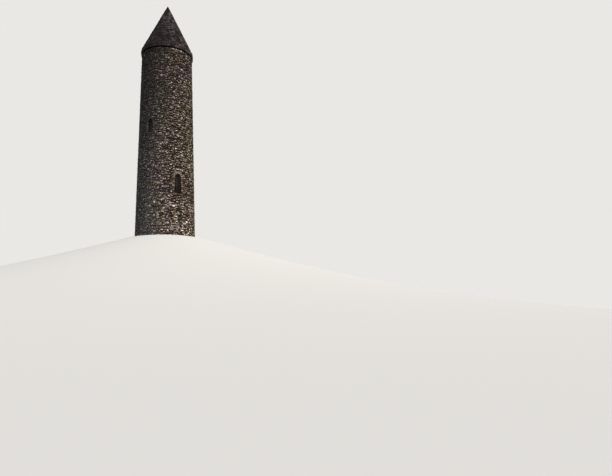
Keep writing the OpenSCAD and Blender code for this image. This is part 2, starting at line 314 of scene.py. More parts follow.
class StoneYard:
    """Collects the points, faces and marks of many stones for one mesh. tones: the least and
    greatest tone that its stones are given."""

    def __init__(self, tones=(0.0, 1.0)):
        self.tones = tones
        self.points = []
        self.faces = []
        self.tone = []
        self.dirt_and_shade = []
        self.count = 0

    def add(self, rings, middle, dirt_and_shade, close_back=False, tone=None, dusty=0):
        """rings: (ring, point, xyz) from bed to face; a middle point closes the face. dusty:
        how many rings, from the bed, take the tone of dust in place of the stone's own."""
        tone = random.uniform(*self.tones) if tone is None else tone
        levels, n, _ = rings.shape
        tones = np.full(levels * n + 1, tone, np.float32)
        tones[:dusty * n] = DUSTY_TONE
        tip = self.count + levels * n
        for start in range(self.count, tip - n, n):
            self.faces += band(start, n)
        self.faces += [(tip - n + k, tip - n + (k + 1) % n, tip) for k in range(n)]
        if close_back:
            self.faces.append(tuple(self.count + k for k in reversed(range(n))))
        self.points += [rings.reshape(-1, 3), middle.reshape(1, 3)]
        self.tone.append(tones)
        self.dirt_and_shade.append(np.append(np.repeat(dirt_and_shade, n), dirt_and_shade[-1]).astype(np.float32))
        self.count = tip + 1

    def piece(self, name, material, slot, replaced=()):
        """The stones as one object that rides with the tower."""
        made = add_mesh(name, np.concatenate(self.points).tolist(), self.faces, material)
        made.data.shade_smooth()
        made.data.set_sharp_from_angle(angle=SHARP_EDGE)
        for label, values in (("tone", self.tone), ("dirt_and_shade", self.dirt_and_shade)):
            marks = made.data.attributes.new(label, "FLOAT", "POINT")
            marks.data.foreach_set("value", np.concatenate(values))
        carry(made, replaced)
        triangles = sum(len(face) - 2 for face in self.faces)
        print(f"{name}: {len(self.tone)} stones, {triangles} triangles")


# %% The outline of a stone
SQUARE_SIDES = [((-1, -1), (1, -1)), ((1, -1), (1, 1)), ((1, 1), (-1, 1)), ((-1, 1), (-1, -1))]
MOST_OF_SIDE = 0.36
ALONG_SIDE = 0.3


def uneven_outline(across, up, worn, wobble, steps):
    """Points around a stone from -1 to 1. worn: least and most that a corner loses, in metres.
    wobble: how far the sides wander inwards. steps: points between a side's corners."""
    points = []
    for i, (start, end) in enumerate(SQUARE_SIDES):
        length, other = (across, up) if i % 2 == 0 else (up, across)
        start, end = np.array(start, float), np.array(end, float)
        inward = np.array([start[1] - end[1], end[0] - start[0]]) / 2
        cut = np.minimum(random.uniform(*worn, 2) / length, MOST_OF_SIDE)
        stops = cut[0] + (1 - cut.sum()) * (np.arange(steps + 2) / (steps + 1))
        stops[1:-1] += random.uniform(-ALONG_SIDE, ALONG_SIDE, steps) * (1 - cut.sum()) / (steps + 1)
        for t in stops:
            point = start + (end - start) * t
            points.append(point + inward * random.uniform(0, wobble) * 2 / other)
    return np.array(points)


print("a corner of a stone takes at most", MOST_OF_SIDE, "of a side")

# %% One stone
LEAST_JOINTS = 2.2


def make_stone(yard, corners, place, layers, unit=1.0, joint=0.026, worn=(0.010, 0.045),
               wobble=0.012, steps=1, lumps=0.004, tilt=0.3, close_back=False, tone=None,
               dusty=0):
    """corners: bottom left, bottom right, top right and top left in the flat pattern.
    layers: (metres out from the mortar, scale, wear) of each ring, from bed to face. unit:
    metres that one unit across the pattern measures there. A sliver of a few joints' width
    isn't made."""
    corners = np.array(corners, float)
    across = (corners[1, 0] - corners[0, 0] + corners[2, 0] - corners[3, 0]) / 2 * unit
    up = (corners[3, 1] - corners[0, 1] + corners[2, 1] - corners[1, 1]) / 2
    if min(across, up) < joint * LEAST_JOINTS:
        return
    outline = uneven_outline(across, up, worn, wobble, steps)
    outline = outline * [1 - joint / across, 1 - joint / up]
    outline = np.vstack([outline, [[0.0, 0.0]]])
    face_depth = layers[-1][0]
    slant = random.normal(0, tilt, 2) * face_depth
    rings = []
    for depth, scale, _ in layers:
        u = (outline[:, 0] * scale + 1) / 2
        v = (outline[:, 1] * scale + 1) / 2
        flat = (
            corners[0] * ((1 - u) * (1 - v))[:, None] + corners[1] * (u * (1 - v))[:, None]
            + corners[2] * (u * v)[:, None] + corners[3] * ((1 - u) * v)[:, None]
        )
        lift = np.full(len(outline), depth, float)
        if depth > 0:
            lift += random.normal(0, lumps, len(outline))
            lift += (outline * scale) @ slant * depth / face_depth
        rings.append(place(flat[:, 0], flat[:, 1], lift))
    rings = np.array(rings)
    dirt_and_shade = [layer[2] for layer in layers]
    yard.add(rings[:, :-1], rings[-1, -1], dirt_and_shade, close_back, tone, dusty)


# %% [markdown]
# ## Sizes of the tower
#
# The wall, cornice and cap are surfaces of revolution, so a stone on them needs only the
# radius at its height. The numbers repeat the CAD model's sizes, in metres.

# %% Radii
FOOT_R, WALL_H, LEAN_IN = 2.61, 17.85, 0.328
CORNICE_H, CORNICE_OUT = 0.465, 0.066
CONE_H, CAPSTONE_H = 5.065, 0.64
ROOF_Z = WALL_H + CORNICE_H
ROOF_R = FOOT_R - LEAN_IN + CORNICE_OUT
APEX_Z = ROOF_Z + CONE_H
LIFTS = [0.0, 3.705, 8.305, 12.905, WALL_H]
INNER_R = [1.40, 1.48, 1.56, 1.64]


def wall_r(z):
    return FOOT_R - LEAN_IN * z / WALL_H


def cornice_r(z):
    return ROOF_R


def cone_r(z):
    return ROOF_R * (APEX_Z - z) / CONE_H


def on_round(radius, out_up=0.0):
    """A place function: the pattern is (angle from the doorway, height)."""
    def place(angle, z, lift):
        r = radius(z) + lift
        height = np.maximum(z + lift * out_up, 0.001)
        return np.stack([r * np.sin(angle), -r * np.cos(angle), height], axis=1)
    return place


print("cap from", ROOF_Z, "to", round(APEX_Z, 3), "m; wall at the top", round(wall_r(WALL_H), 3))

# %% [markdown]
# ## The openings
#
# There are a round-headed doorway and three windows with pointed heads. Each jamb has long and
# short blocks in turn. Their outlines repeat the CAD's, because the rubble stops against them.

# %% Openings


def stepped_edge(opening):
    """Right edge of an opening's dressed stones, as (half width, height over the sill)."""
    half = opening.sill_w / 2
    edge = [(half + opening.bearing, -opening.sill_t), (half + opening.bearing, 0.0)]
    for i in range(opening.stones):
        back = half + (opening.long if i % 2 == 0 else opening.short)
        for k in (i, i + 1):
            edge.append((back, opening.jamb_h * k / opening.stones))
    return edge


DOOR = SimpleNamespace(
    turn=0.0, sill_z=3.95, lift=1, sill_w=0.66, top_w=0.50, jamb_h=1.50, stones=4, short=0.23,
    long=0.36, bearing=0.18, sill_t=0.19, depth=None, arch_ring=0.26, arch_stones=7,
)
ARCH_INNER = DOOR.top_w / 2
ARCH_OUTER = ARCH_INNER + DOOR.arch_ring
DOOR.edge = stepped_edge(DOOR) + [
    (ARCH_OUTER * math.cos(a), DOOR.jamb_h + ARCH_OUTER * math.sin(a))
    for a in np.linspace(0, math.pi / 2, 8)
]

HEAD_BASE, HEAD_HALF, HEAD_RISE, HEAD_STONE_T = 1.05, 0.25, 0.30, 0.19
HEAD_SLOPE = math.hypot(HEAD_HALF, HEAD_RISE)
HEAD_FOOT = HEAD_HALF + HEAD_STONE_T * HEAD_SLOPE / HEAD_RISE
HEAD_TIP = HEAD_BASE + HEAD_RISE + HEAD_STONE_T * HEAD_SLOPE / HEAD_HALF


def window(turn, sill_z, lift):
    opening = SimpleNamespace(
        turn=math.radians(turn), sill_z=sill_z, lift=lift, sill_w=0.58, top_w=2 * HEAD_HALF,
        jamb_h=HEAD_BASE, stones=3, short=0.19, long=0.30, bearing=0.14, sill_t=0.16, depth=0.38,
    )
    opening.edge = stepped_edge(opening) + [
        (HEAD_FOOT * (1 - t), HEAD_BASE + (HEAD_TIP - HEAD_BASE) * t) for t in np.linspace(0, 1, 5)
    ]
    return opening


WINDOWS = {
    "front_window": window(-60, 9.54, 2),
    "rear_window": window(120, 9.54, 2),
    "top_window": window(180, 14.14, 3),
}
OPENINGS = [DOOR] + list(WINDOWS.values())
print("edges of the openings have", [len(opening.edge) for opening in OPENINGS], "points")

# %% [markdown]
# ## Laying the rubble
#
# The real wall is rubble brought to rough courses: stones of all widths, bedded flat, in rows
# of uneven height whose beds wander up and down. Here and there a tall stone runs through two
# rows, or two flat ones make up the height. A texture could imitate this, but the joints on
# the real wall are deep and throw shadows, and the edge of the drum is rough, so each stone is
# laid as a shape. Each row is a strip around the drum, between two beds.

# %% Beds
BED_WAVES = (3, 13, 37)
LAST_ROW = 1.4


def bed_lines(low, high, course, wander):
    """Heights of the beds from low to high, each with its own slow waves. course: least and
    greatest height of a row. The last row is up to LAST_ROW times as high."""
    heights = [low]
    while heights[-1] < high - course[1] * LAST_ROW:
        heights.append(heights[-1] + random.uniform(*course))
    heights = np.array(heights + [high])
    beds = []
    for i, z in enumerate(heights):
        size = 0.0 if i in (0, len(heights) - 1) else wander
        beds.append((z, size * random.uniform(0.6, 1.2, 3), random.uniform(0, 6.28, 3)))
    return beds


def bed_z(bed, angle):
    z, sizes, phases = bed
    waves = zip(sizes, phases, BED_WAVES)
    return z + sum(size * math.sin(n * angle + phase) for size, phase, n in waves)


print("a bed without waves at 1 m lies at", bed_z((1.0, [0.0] * 3, [0.0] * 3), 0.0), "m")

# %% [markdown]
# ## Rubble against an opening
#
# Where a row meets an opening, it stops short of the dressed stones, and small stones are cut
# in against them, along each step of their outline.

# %% Small stones beside an opening
SMALL_STONE_W, LEAST_STONE_H, STEP_CLEAR = (0.05, 0.24), 0.05, 0.055
JUST_IN, END_OF_SIDE = 0.002, 0.012
LEAST_OVERLAP, NEARLY_PLUMB, WIDE_STEP = 0.02, 0.03, 0.3


def edge_at(edge, low, high):
    """Greatest half width of an opening's dressed stones between two heights."""
    widest = 0.0
    for (x0, h0), (x1, h1) in zip(edge[:-1], edge[1:]):
        if max(h0, h1) < low or min(h0, h1) > high:
            continue
        if abs(h1 - h0) < 1e-9:
            if low < h0 < high:
                widest = max(widest, x0, x1)
            continue
        for h in (max(low, min(h0, h1)), min(high, max(h0, h1))):
            widest = max(widest, x0 + (x1 - x0) * (h - h0) / (h1 - h0))
    return widest


def beside_opening(opening, low, high, r):
    """Small stones between a row and the dressed stones, and the angles the row must leave."""
    turn, sill_z, edge = opening.turn, opening.sill_z, opening.edge
    h0, h1 = low - sill_z, high - sill_z
    if h1 < edge[0][1] + LEAST_OVERLAP or h0 > edge[-1][1] - LEAST_OVERLAP:
        return [], None
    cuts = sorted({h for _, h in edge if h0 + STEP_CLEAR < h < h1 - STEP_CLEAR})
    levels = [h0]
    for h in cuts + [h1]:
        if h - levels[-1] > LEAST_STONE_H or h == h1:
            levels.append(h)
    stops = [edge_at(edge, h0, h1) + random.uniform(*SMALL_STONE_W) for _ in range(2)]
    cells = []
    for a, b in zip(levels[:-1], levels[1:]):
        foot = edge_at(edge, a + JUST_IN, a + END_OF_SIDE)
        head = edge_at(edge, b - END_OF_SIDE, b - JUST_IN)
        widest = edge_at(edge, a + JUST_IN, b - JUST_IN)
        if widest == 0:
            cells.append([(-stops[0], a), (stops[1], a), (stops[1], b), (-stops[0], b)])
            continue
        if abs(foot - head) < NEARLY_PLUMB or min(foot, head) == 0 and widest > WIDE_STEP:
            foot = head = widest
        cells.append([(foot, a), (stops[1], a), (stops[1], b), (head, b)])
        cells.append([(-stops[0], a), (-foot, a), (-head, b), (-stops[0], b)])
    bent = [[(turn + math.asin(x / r), sill_z + h) for x, h in cell] for cell in cells]
    return bent, (turn - math.asin(stops[0] / r), turn + math.asin(stops[1] / r))


print("the door's stones reach", edge_at(DOOR.edge, 0.0, 0.3), "m to each side at its sill")

# %% [markdown]
# ## Rows of stones
#
# A row is shared out among stones of random widths. A joint that falls on a joint of the row
# below moves a little, as a mason bonds the wall, and upright joints lean a little.

# %% Rows around the drum
TALL_STONE_W, SPLIT_STONE_H = 0.30, 0.12
JOINT_ABOVE_JOINT, BOND_SHIFT, JOINT_LEAN = 0.035, 0.05, 0.02
ZONE_UP, ZONE_ASIDE = 0.6, 1.2
CLOSE_SET = 0.94


def free_arcs(taken):
    """The gaps between taken angle ranges, round the whole circle."""
    if not taken:
        start = random.uniform(0, 2 * math.pi)
        return [(start, start + 2 * math.pi)]
    taken = sorted((a % (2 * math.pi), b - a) for a, b in taken)
    following = [start for start, _ in taken[1:]] + [taken[0][0] + 2 * math.pi]
    return [(a + length, b) for (a, length), b in zip(taken, following) if b > a + length]


def apart(a, b):
    """The smaller angle between two directions."""
    return abs((a - b + math.pi) % (2 * math.pi) - math.pi)


def near_opening(openings, z, a, b, r):
    """Whether a tall stone would run into the zone of an opening's small stones."""
    return any(
        -ZONE_UP < z - opening.sill_z < opening.edge[-1][1] + ZONE_UP
        and apart((a + b) / 2, opening.turn) * r < ZONE_ASIDE for opening in openings
    )


def share_out(start, end, r, widths, below):
    """The upright joints of a row from one angle to another. below: those of the row below."""
    count = max(1, int(round((end - start) * r / (sum(widths) / 2 * CLOSE_SET))))
    shares = random.uniform(widths[0], widths[1], count)
    edges = start + np.concatenate([[0], np.cumsum(shares)]) / shares.sum() * (end - start)
    for k in range(1, count):
        if any(apart(edges[k], joint) * r < JOINT_ABOVE_JOINT for joint in below):
            edges[k] += BOND_SHIFT / r * random.choice([-1, 1])
    return edges


print("free beside a quarter that is taken:", free_arcs([(0.0, math.pi / 2)]))

# %% Row upon row
def lay_rows(beds, radius, widths, openings=(), tall=0.07, thin=0.10):
    """The corners of every stone, row by row. tall: share of stones that run through two rows.
    thin: share that are made up of two flat ones."""
    cells, below, held = [], [], {}
    for row, (low, high) in enumerate(zip(beds[:-1], beds[1:])):
        r = radius(low[0])
        taken = list(held.pop(row, []))
        for opening in openings:
            z0, z1 = bed_z(low, opening.turn), bed_z(high, opening.turn)
            small, range_taken = beside_opening(opening, z0, z1, r)
            cells += small
            if range_taken:
                taken.append(range_taken)
        joints = []
        for start, end in free_arcs(taken):
            edges = share_out(start, end, r, widths, below)
            joints += [e % (2 * math.pi) for e in edges]
            lean = random.uniform(-JOINT_LEAN, JOINT_LEAN, len(edges)) / r
            lean[[0, -1]] = 0.0
            roofs = [high] * (len(edges) - 1)
            for k, (a, b) in enumerate(zip(edges[:-1], edges[1:])):
                two_rows = (row + 2 < len(beds) and (b - a) * r < TALL_STONE_W
                            and random.random() < tall)
                if two_rows and not near_opening(openings, beds[row + 2][0], a, b, r):
                    roofs[k] = beds[row + 2]
                    held.setdefault(row + 1, []).append((a, b))
                    lean[k:k + 2] = 0.0
            for k, roof in enumerate(roofs):
                a, b = edges[k] - lean[k], edges[k + 1] - lean[k + 1]
                c, d = edges[k + 1] + lean[k + 1], edges[k] + lean[k]
                stone = np.array([
                    (x, bed_z(bed, x)) for x, bed in ((a, low), (b, low), (c, roof), (d, roof))
                ])
                height = stone[3][1] - stone[0][1]
                if roof is high and height > SPLIT_STONE_H and random.random() < thin:
                    t = random.uniform(0.4, 0.6)
                    left = stone[0] + t * (stone[3] - stone[0])
                    right = stone[1] + t * (stone[2] - stone[1])
                    cells += [[stone[0], stone[1], right, left], [left, right, stone[2], stone[3]]]
                else:
                    cells.append(stone)
        below = joints
    print("laid", len(cells), "stones in", len(beds) - 1, "rows")
    return cells


# %% [markdown]
# ## Finish: old stone
#
# All the stone of the tower has weathered for centuries, so one recipe makes each kind of it.
# A stone's `tone` picks its colour, and a second mark darkens it towards the joint, with the
# dirt that sits there and with painted shade. Blotches, grit and slow changes over metres make it
# lighter and darker. Painted light and shade come on top: the stone is lighter towards the foot
# and darker towards the cornice; the upper wall is painted lighter on the right and darker on the
# left, the shaded side, where a grey sheet of painted shade also makes the stones more alike; and
# the drum's right edge, as the camera sees it, is painted darker and a little green. Pale crusts
# of lichen sit on some faces.

# %% Weathered stone
SHADED_SIDE_TURN, SHADED_EDGE_TURN = math.radians(-100), math.radians(66)
SIDE_SHADE = 0.33
JOINT_DIRT_AND_SHADE = "#1b1917"
# Features per metre, detail and roughness: slow weathering over about 1.8 m, damp over 1.25 m,
# and a pattern of 110 mm whose peaks are rosettes of lichen, 20 to 80 mm wide
OWN_PATTERNS = {"slow": (0.55, 5.0, 0.62), "damp": (0.8, 3.0, 0.5), "rosettes": (9.0, 5.0, 0.75)}


def weathered_stone(name, stops, shade_film, grit_mm, mottle_mm, mottle, bump_mm, roughness,
                    lichen="#a9a79a", crust=0.55, joint_dirt_and_shade=0.9, painted_height_light=(1.0, 1.0)):
    """Old stone: a colour by tone, mottled, darkened at the edges with dirt and painted shade,
    with crusts of lichen. film: the grey of painted shade, towards which all stones on the shaded
    side are mixed alike. mottle: how much lighter or darker the blotches are. aged: painted light
    and shade, as lightness at the tower's foot and its cornice."""
    material, tree = new_material(name)
    where = add_node(tree, "TexCoord").outputs["Object"]
    height = add_node(tree, "SeparateXYZ", {0: where}).outputs["Z"]
    tone, dirt_and_shade = [
        add_node(tree, "Attribute", attribute_name=mark).outputs["Fac"] for mark in ("tone", "dirt_and_shade")
    ]
    shaded_side, shaded_edge_side = [
        add_node(tree, "VectorMath", {0: where, 1: outwards(turn)}, operation="DOT_PRODUCT")
        for turn in (SHADED_SIDE_TURN, SHADED_EDGE_TURN)
    ]
    patterns = {
        "blotches": (1000 / mottle_mm, 4.0, 0.6), "grit": (1000 / grit_mm, 3.0, 0.7),
        **OWN_PATTERNS,
    }
    noise = {
        label: add_node(tree, "TexNoise", {
            "Vector": where, "Scale": scale, "Detail": detail, "Roughness": rough,
        }) for label, (scale, detail, rough) in patterns.items()
    }

    # Painted light and shade: high up, the wall is painted darker on the shaded left side and
    # lighter on the other side, fading out downwards
    upper = add_node(tree, "MapRange", {
        "Value": height, "From Min": 0.2 * WALL_H, "From Max": 0.95 * WALL_H,
    })
    side_light_and_shade = add_node(tree, "Math", {0: shaded_side, 1: upper}, operation="MULTIPLY")

    # Each effect: what it follows, from which value to which, and how strong it is at each
    effects = {}
    # The effect that follows height is painted light and shade: lighter towards the foot, darker
    # towards the cornice
    for label, cause, low, high, at_low, at_high in (
        ("shade_film", shaded_side, 0.2, 2.3, 0.0, 0.6),
        ("height_light_and_shade", height, 0.0, WALL_H, *painted_height_light),
        ("side_light_and_shade", side_light_and_shade, -2.3, 2.3, 1 + SIDE_SHADE, 1 - SIDE_SHADE),
        ("blotches", noise["blotches"], 0.28, 0.72, 1 - mottle, 1 + mottle),
        ("grit", noise["grit"], 0.28, 0.72, 0.84, 1.16),
        ("slow", noise["slow"], 0.28, 0.72, 0.88, 1.12),
        ("damp", noise["damp"], 0.4, 0.6, 0.0, 1.0),
        ("edge_shade", shaded_edge_side, 1.3, 2.4, 0.0, 1.0),
        ("lichen", noise["rosettes"], 0.60, 0.68, 0.0, crust),
        ("joint_darkening", dirt_and_shade, 0.05, 0.8, 0.0, joint_dirt_and_shade),
    ):
        effects[label] = add_node(tree, "MapRange", {
            "Value": cause, "From Min": low, "From Max": high, "To Min": at_low, "To Max": at_high,
        })
    light = effects["height_light_and_shade"]
    for label in ("side_light_and_shade", "blotches", "grit", "slow"):
        light = add_node(tree, "Math", {0: light, 1: effects[label]}, operation="MULTIPLY")
    body = add_node(tree, "ValToRGB", {"Fac": tone}, stops=stops)
    # Painted shade: on the shaded side the stones are mixed towards one grey, which evens them out
    shade_filmed = add_node(tree, "Mix", {0: effects["shade_film"], 6: body, 7: shade_film}, data_type="RGBA")
    shaded = add_node(tree, "VectorMath", {0: shade_filmed, "Scale": light}, operation="SCALE")

    # The stones are of more than one kind, from rusty sandstone to blue-grey slate. Damp turns
    # broad patches of the wall a little green. These two are tints, as pale as filters. The third
    # tint is painted shade: it darkens the drum's right edge, as the camera sees it, and greens it
    # a little
    spread = add_node(tree, "Math", {0: tone, 1: 57.0}, operation="MULTIPLY")
    effects["kind"] = add_node(tree, "Math", {0: spread}, operation="FRACT")
    for label, without, fully in (
        ("kind", "#fff4ea", "#f0f2fa"), ("damp", "#fff7fb", "#f8faea"), ("edge_shade", "#ffffff", "#d6dad0"),
    ):
        tint = add_node(tree, "Mix", {0: effects[label], 6: without, 7: fully}, data_type="RGBA")
        shaded = add_node(tree, "VectorMath", {0: shaded, 1: tint}, operation="MULTIPLY")
    for label, colour in (("lichen", lichen), ("joint_darkening", JOINT_DIRT_AND_SHADE)):
        shaded = add_node(tree, "Mix", {0: effects[label], 6: shaded, 7: colour}, data_type="RGBA")
    relief = add_node(tree, "Math", {
        0: noise["grit"], 1: 0.35, 2: noise["blotches"],
    }, operation="MULTIPLY_ADD")
    add_surface(tree, shaded, relief, bump_mm, roughness, specular=0.15)
    print("made", name, "with", len(tree.nodes), "nodes")
    return material


# %% [markdown]
# ## Finish: split rubble
#
# The wall is of hard sandstone and limestone from the field and the quarry, split with a
# hammer and never smoothed. That gives the eye stones from near black through brown-grey to
# pale buff, with dull, gritty faces and dark, damp edges. Grit is about 4 mm, too fine for a
# view of the whole tower, so it is drawn at 15 mm.

# %% Split rubble
RUBBLE_TONES = [
    (0.00, "#110e0d"), (0.20, "#251e1b"), (0.36, "#483f38"), (0.50, "#83776d"),
    (0.66, "#a3978d"), (0.76, "#5f544b"), (0.86, "#b4a99f"), (0.94, "#d3cac2"),
    (1.00, "#ece4dd"),
]
split_rubble = weathered_stone(
    "split_weathered_sandstone_rubble", RUBBLE_TONES, shade_film="#747074", grit_mm=15, mottle_mm=60,
    mottle=0.30, bump_mm=9, roughness=0.92, painted_height_light=(1.80, 0.76),
)

# %% [markdown]
# ## The rubble face
#
# The rows are 80 to 140 mm high and the stones 90 to 280 mm wide, as the grain of the wall in
# the picture shows. Where two pale stones or two dark ones meet, the eye sees one big stone,
# and by chance that happens often. The picture has few such blots: its stones and joints
# alternate. So each stone draws a tone far from that of the stone below it.
#
# The face is made in seven pieces, which end at the ledges of the wall or half way between
# them, so that none is too heavy to edit.

# %% Rubble on the wall
# The last number of each ring darkens it: deep in the joint this is dirt, and on the stone's margin it
# is painted shade, so that each face is palest in the middle
RUBBLE_LAYERS = [(-0.012, 1.0, 1.0), (0.018, 0.96, 0.7), (0.031, 0.80, 0.12)]
RUBBLE_PARTS = {
    "basement": 0.0, "entrance_lower": LIFTS[1], "entrance_upper": 6.0,
    "middle_lower": LIFTS[2], "middle_upper": 10.6, "top_lower": LIFTS[3], "top_upper": 15.4,
}
TOP_GAP = 0.085
MARKS = 720
tone_below = np.full(MARKS, 0.5)


def contrasting_tone(corners):
    """A tone at least a quarter of the range from that of the stone below."""
    first = int(corners[3][0] / (2 * math.pi) * MARKS)
    last = max(first + 1, int(corners[2][0] / (2 * math.pi) * MARKS))
    marks = np.arange(first, last) % MARKS
    tone = (tone_below[marks[len(marks) // 2]] + random.uniform(0.25, 0.75)) % 1.0
    tone_below[marks] = tone
    return tone


def part_and_layers(corners, part_feet, layers, proud):
    """A stone's height, the part that it lies in, and its layers. proud: least and most that
    the layers stand out, as shares of the usual."""
    middle_z = sum(c[1] for c in corners) / 4
    out = random.uniform(*proud)
    return middle_z, sum(middle_z > z for z in part_feet), [
        (d * out if d > 0 else d, s, w) for d, s, w in layers
    ]


wall_beds = bed_lines(-0.010, WALL_H - TOP_GAP, (0.080, 0.140), 0.007)
wall_cells = lay_rows(wall_beds, wall_r, (0.09, 0.28), OPENINGS)
yards = [StoneYard() for _ in RUBBLE_PARTS]
part_feet = list(RUBBLE_PARTS.values())[1:]
for corners in wall_cells:
    middle_z, part, layers = part_and_layers(corners, part_feet, RUBBLE_LAYERS, (0.6, 1.25))
    make_stone(
        yards[part], corners, on_round(wall_r), layers, wall_r(middle_z),
        joint=random.uniform(0.018, 0.034), tone=contrasting_tone(corners),
    )
for yard, name in zip(yards, RUBBLE_PARTS):
    yard.piece(f"{name}_rubble", split_rubble, "rubble_stone")

# %% [markdown]
# ## Finish: the mortared core
#
# Behind the stones is a core of small rubble set in lime mortar. Between the stones it is
# washed out, dark and damp. Just under the cornice it is painted darker still, as painted
# shadow of the overhang. The same solids are the inner face of the wall, which shows through
# the doorway and the windows. There it is drawn as rubble set in paler mortar, by a cell
# pattern with cells of about 280 by 160 mm.

# %% The inner face: rubble in mortar
INNER_STONE_W, INNER_STONE_H = 0.28, 0.16
MEAN_INNER_R = 1.5

lime_mortar, tree = new_material("weathered_lime_mortar_and_core")
where = add_node(tree, "TexCoord").outputs["Object"]
x, y, z = add_node(tree, "SeparateXYZ", {0: where}).outputs
angle = add_node(tree, "Math", {0: x, 1: y}, operation="ARCTAN2")
along = add_node(tree, "Math", {0: angle, 1: MEAN_INNER_R}, operation="MULTIPLY")
unrolled = add_node(tree, "CombineXYZ", {"X": along, "Y": z})
in_stones = add_node(tree, "VectorMath", {
    0: unrolled, 1: (1 / INNER_STONE_W, 1 / INNER_STONE_H, 1),
}, operation="MULTIPLY")
cells, edges = [
    add_node(tree, "TexVoronoi", {
        "Vector": in_stones, "Scale": 1.0, "Randomness": 0.75,
    }, voronoi_dimensions="2D", feature=feature) for feature in ("F1", "DISTANCE_TO_EDGE")
]
pick = add_node(tree, "SeparateColor", {0: cells.outputs["Color"]})
inner_stone = add_node(tree, "ValToRGB", {"Fac": pick}, stops=[
    (0.0, "#453e3a"), (0.35, "#5c524c"), (0.7, "#746860"), (1.0, "#8e8279"),
])
inner_joint = add_node(tree, "MapRange", {"Value": edges, "From Min": 0.05, "From Max": 0.12})
inner_wall = add_node(tree, "Mix", {0: inner_joint, 6: "#827970", 7: inner_stone}, data_type="RGBA")
print("inner wall:", len(tree.nodes), "nodes")

# %% The outer face: washed-out mortar
BETWEEN_FACES_R = 2.1
# Features per metre, detail and roughness of mortar with gravel of about 17 mm
GRAVEL = {"Scale": 60.0, "Detail": 5.0, "Roughness": 0.7}

gravel = add_node(tree, "TexNoise", {"Vector": where, **GRAVEL})
washed = add_node(tree, "ValToRGB", {"Fac": gravel}, stops=[
    (0.3, "#171513"), (0.5, "#24201d"), (0.7, "#3a342f"),
])
# Painted shadow: just under the cornice the mortar is darkened to a fifth
painted_cornice_shadow = add_node(tree, "MapRange", {
    "Value": z, "From Min": WALL_H - 0.16, "From Max": WALL_H - 0.07, "To Min": 1.0, "To Max": 0.2,
})
outer_mortar = add_node(tree, "VectorMath", {0: washed, "Scale": painted_cornice_shadow}, operation="SCALE")
out = add_node(tree, "VectorMath", {0: where, 1: (1, 1, 0)}, operation="MULTIPLY")
radius = add_node(tree, "VectorMath", {0: out}, operation="LENGTH")
is_outer = add_node(tree, "Math", {0: radius, 1: BETWEEN_FACES_R}, operation="GREATER_THAN")
mortar_colour = add_node(tree, "Mix", {0: is_outer, 6: inner_wall, 7: outer_mortar}, data_type="RGBA")
inner_relief = add_node(tree, "Math", {
    0: inner_joint, 1: 0.8, 2: gravel,
}, operation="MULTIPLY_ADD")
add_surface(tree, mortar_colour, inner_relief, bump_mm=12, roughness=0.95, specular=0.2)


def finish_node(name, material):
    """Gives a CAD node its finish, in place of the plain packed one."""
    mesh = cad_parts[name].data
    mesh.materials.clear()
    mesh.materials.append(material)


wall_nodes = [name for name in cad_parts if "_wall" in name]
for name in wall_nodes:
    finish_node(name, lime_mortar)
print("mortar on", wall_nodes)

# %% [markdown]
# ## Dressed stones of the openings
#
# The jambs, arch and sills are sandstone squared with a point and a chisel, which leaves faces
# flatter than the rubble's, with worn edges. In the picture no pale surround stands out, so
# they are laid in low courses, in the same range of tones. They are cut to the CAD outlines,
# and the door's run through the whole wall.
#
# The pattern here is flat: metres across and metres above the sill, seen from outside. The
# faces weather clean, and the mouth of each reveal is darkened with painted shade. Further in,
# dust has given all the stones one tone.

# %% Tooled stone
tooled_stone = weathered_stone(
    "point_tooled_weathered_sandstone",
    [(0.0, "#2c2623"), (0.25, "#473e39"), (0.5, "#61564f"), (0.75, "#7b6f66"), (1.0, "#998e84")],
    shade_film="#5f5b5e", grit_mm=18, mottle_mm=90, mottle=0.45, bump_mm=12, roughness=0.9,
    joint_dirt_and_shade=0.93, painted_height_light=(1.72, 0.78),
)

# %% Where dressed stones lie
# A ring at this depth lies on the back of its stone, however deep that is
BACK = -1.0
# The two rings behind the face lie in the mouth of the reveal: their darkening is painted shade
FACE_LAYERS = [(-0.12, 1.0, 0.3), (-0.03, 1.0, 0.45), (0.008, 0.985, 0.6), (0.022, 0.93, 0.35),
               (0.030, 0.80, 0.05), (0.032, 0.45, 0.0)]
WINDOW_LAYERS = [(BACK, 1.0, 0.2)] + FACE_LAYERS
DOOR_LAYERS = [(BACK, 1.0, 0.2), (-0.70, 1.0, 0.2), (-0.40, 1.0, 0.2)] + FACE_LAYERS
CLEAN_LAYERS = 5
DRESSED_LOOK = dict(joint=0.014, worn=(0.006, 0.028), wobble=0.009, steps=2, tilt=0.2,
                    close_back=True)


def on_opening(opening):
    """A place function: the pattern is (metres to the right, metres over the sill)."""
    turn, sill_z = opening.turn, opening.sill_z
    out = np.array(outwards(turn))
    right = np.array([math.cos(turn), math.sin(turn), 0])

    def place(x, h, lift):
        z = sill_z + h
        back = np.sqrt(INNER_R[opening.lift] ** 2 - x ** 2)
        if opening.depth:
            back = wall_r(sill_z + opening.jamb_h / 2) - opening.depth
        reach = np.where(lift == BACK, back, np.sqrt(wall_r(z) ** 2 - x ** 2) + lift)
        return out * reach[:, None] + right * x[:, None] + np.array([0, 0, 1]) * z[:, None]
    return place


def on_arch(opening):
    """A place function: the pattern is (angle round the arch, metres from its middle)."""
    flat = on_opening(opening)

    def place(angle, distance, lift):
        spring = opening.jamb_h
        return flat(-distance * np.cos(angle), spring + distance * np.sin(angle), lift)
    return place


def cut_stone(yard, opening, corners, dusty=True, place=None, **more):
    """One dressed stone. Where dusty, only the layers nearest its face keep its own tone."""
    layers = WINDOW_LAYERS if opening.depth else DOOR_LAYERS
    make_stone(yard, corners, place or on_opening(opening), layers,
               dusty=len(layers) - CLEAN_LAYERS if dusty else 0, **more, **DRESSED_LOOK)


